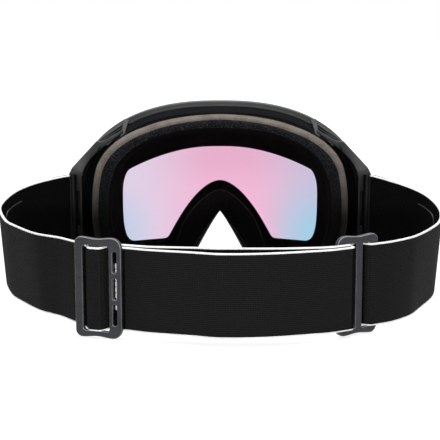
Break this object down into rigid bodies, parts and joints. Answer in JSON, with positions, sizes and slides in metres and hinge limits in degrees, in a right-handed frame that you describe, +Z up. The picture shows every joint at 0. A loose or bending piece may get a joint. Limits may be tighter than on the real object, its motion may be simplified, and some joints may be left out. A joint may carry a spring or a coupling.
{
  "type": "ski goggles",
  "caption": "Ski goggles with a wrapped frame, double lens, layered face foam, corner lens latches and a wide elastic strap on hinged clips with sliders.",
  "frame": {"origin": "on the table, under the middle of the footprint of frame and strap loop together", "axes": "+X towards the wearer's right, +Y the way the wearer looks, +Z up from the table"},
  "size_m": [0.2451, 0.2126, 0.1025],
  "materials": {
    "frame_grey": "satin moulded",
    "vent_black": "open-cell foam",
    "foam_black": "closed foam",
    "foam_brown": "open-cell foam",
    "fleece_grey": "brushed fleece",
    "seal_black": "matt",
    "lens_clear": "clear polycarbonate",
    "lens_tint": "rose tinted, mirrored in front",
    "strap_black": "woven elastic",
    "slider_slate": "satin",
    "pin_steel": "ground"
  },
  "bodies": {
    "frame": {"frame_shell": "frame_grey", "left_outrigger": "frame_grey", "right_outrigger": "frame_grey", "left_strap_pin": "pin_steel", "right_strap_pin": "pin_steel", "left_latch_pin": "pin_steel", "right_latch_pin": "pin_steel", "top_vent_foam": "vent_black", "left_lower_vent_foam": "vent_black", "right_lower_vent_foam": "vent_black", "foam_base": "foam_black", "foam_middle": "foam_brown", "foam_fleece": "fleece_grey", "lens_seal": "seal_black", "left_strap": "strap_black", "right_strap": "strap_black"},
    "left_clip": {"left_strap_clip": "frame_grey"},
    "right_clip": {"right_strap_clip": "frame_grey"},
    "left_slider": {"left_slider": "slider_slate"},
    "right_slider": {"right_slider": "slider_slate"},
    "lens": {"lens_carrier": "frame_grey", "inner_lens": "lens_clear", "lens_spacer": "seal_black", "outer_lens": "lens_tint"},
    "left_latch": {"left_lens_latch": "frame_grey"},
    "right_latch": {"right_lens_latch": "frame_grey"}
  },
  "joints": [
    {"name": "left_clip_turn", "type": "hinge", "parent": "frame", "child": "left_clip", "pos_m": [-0.0872, 0.04151, 0.0413], "axis": [0, 0, -1], "range_deg": [-50, 10], "deforming": ["left_strap"]},
    {"name": "right_clip_turn", "type": "hinge", "parent": "frame", "child": "right_clip", "pos_m": [0.0872, 0.04151, 0.0413], "axis": [0, 0, 1], "range_deg": [-50, 10], "deforming": ["right_strap"]},
    {"name": "left_slider_run", "type": "slide", "parent": "frame", "child": "left_slider", "axis": [0.9511, -0.309, 0], "range_m": [-0.02, 0.02], "deforming": ["left_strap", "right_strap"]},
    {"name": "right_slider_run", "type": "slide", "parent": "frame", "child": "right_slider", "axis": [-0.866, -0.5, 0], "range_m": [-0.02, 0.02], "deforming": ["left_strap", "right_strap"]},
    {"name": "lens_pull", "type": "slide", "parent": "frame", "child": "lens", "axis": [0, 1, 0], "range_m": [0, 0.04]},
    {"name": "left_latch_press", "type": "hinge", "parent": "frame", "child": "left_latch", "pos_m": [-0.06199, 0.07123, 0.08329], "axis": [0.7052, 0.4379, 0.5577], "range_deg": [0, 8], "stiffness_Nm_per_rad": 0.05},
    {"name": "right_latch_press", "type": "hinge", "parent": "frame", "child": "right_latch", "pos_m": [0.06199, 0.07123, 0.08329], "axis": [0.7052, -0.4379, -0.5577], "range_deg": [0, 8], "stiffness_Nm_per_rad": 0.05}
  ]
}
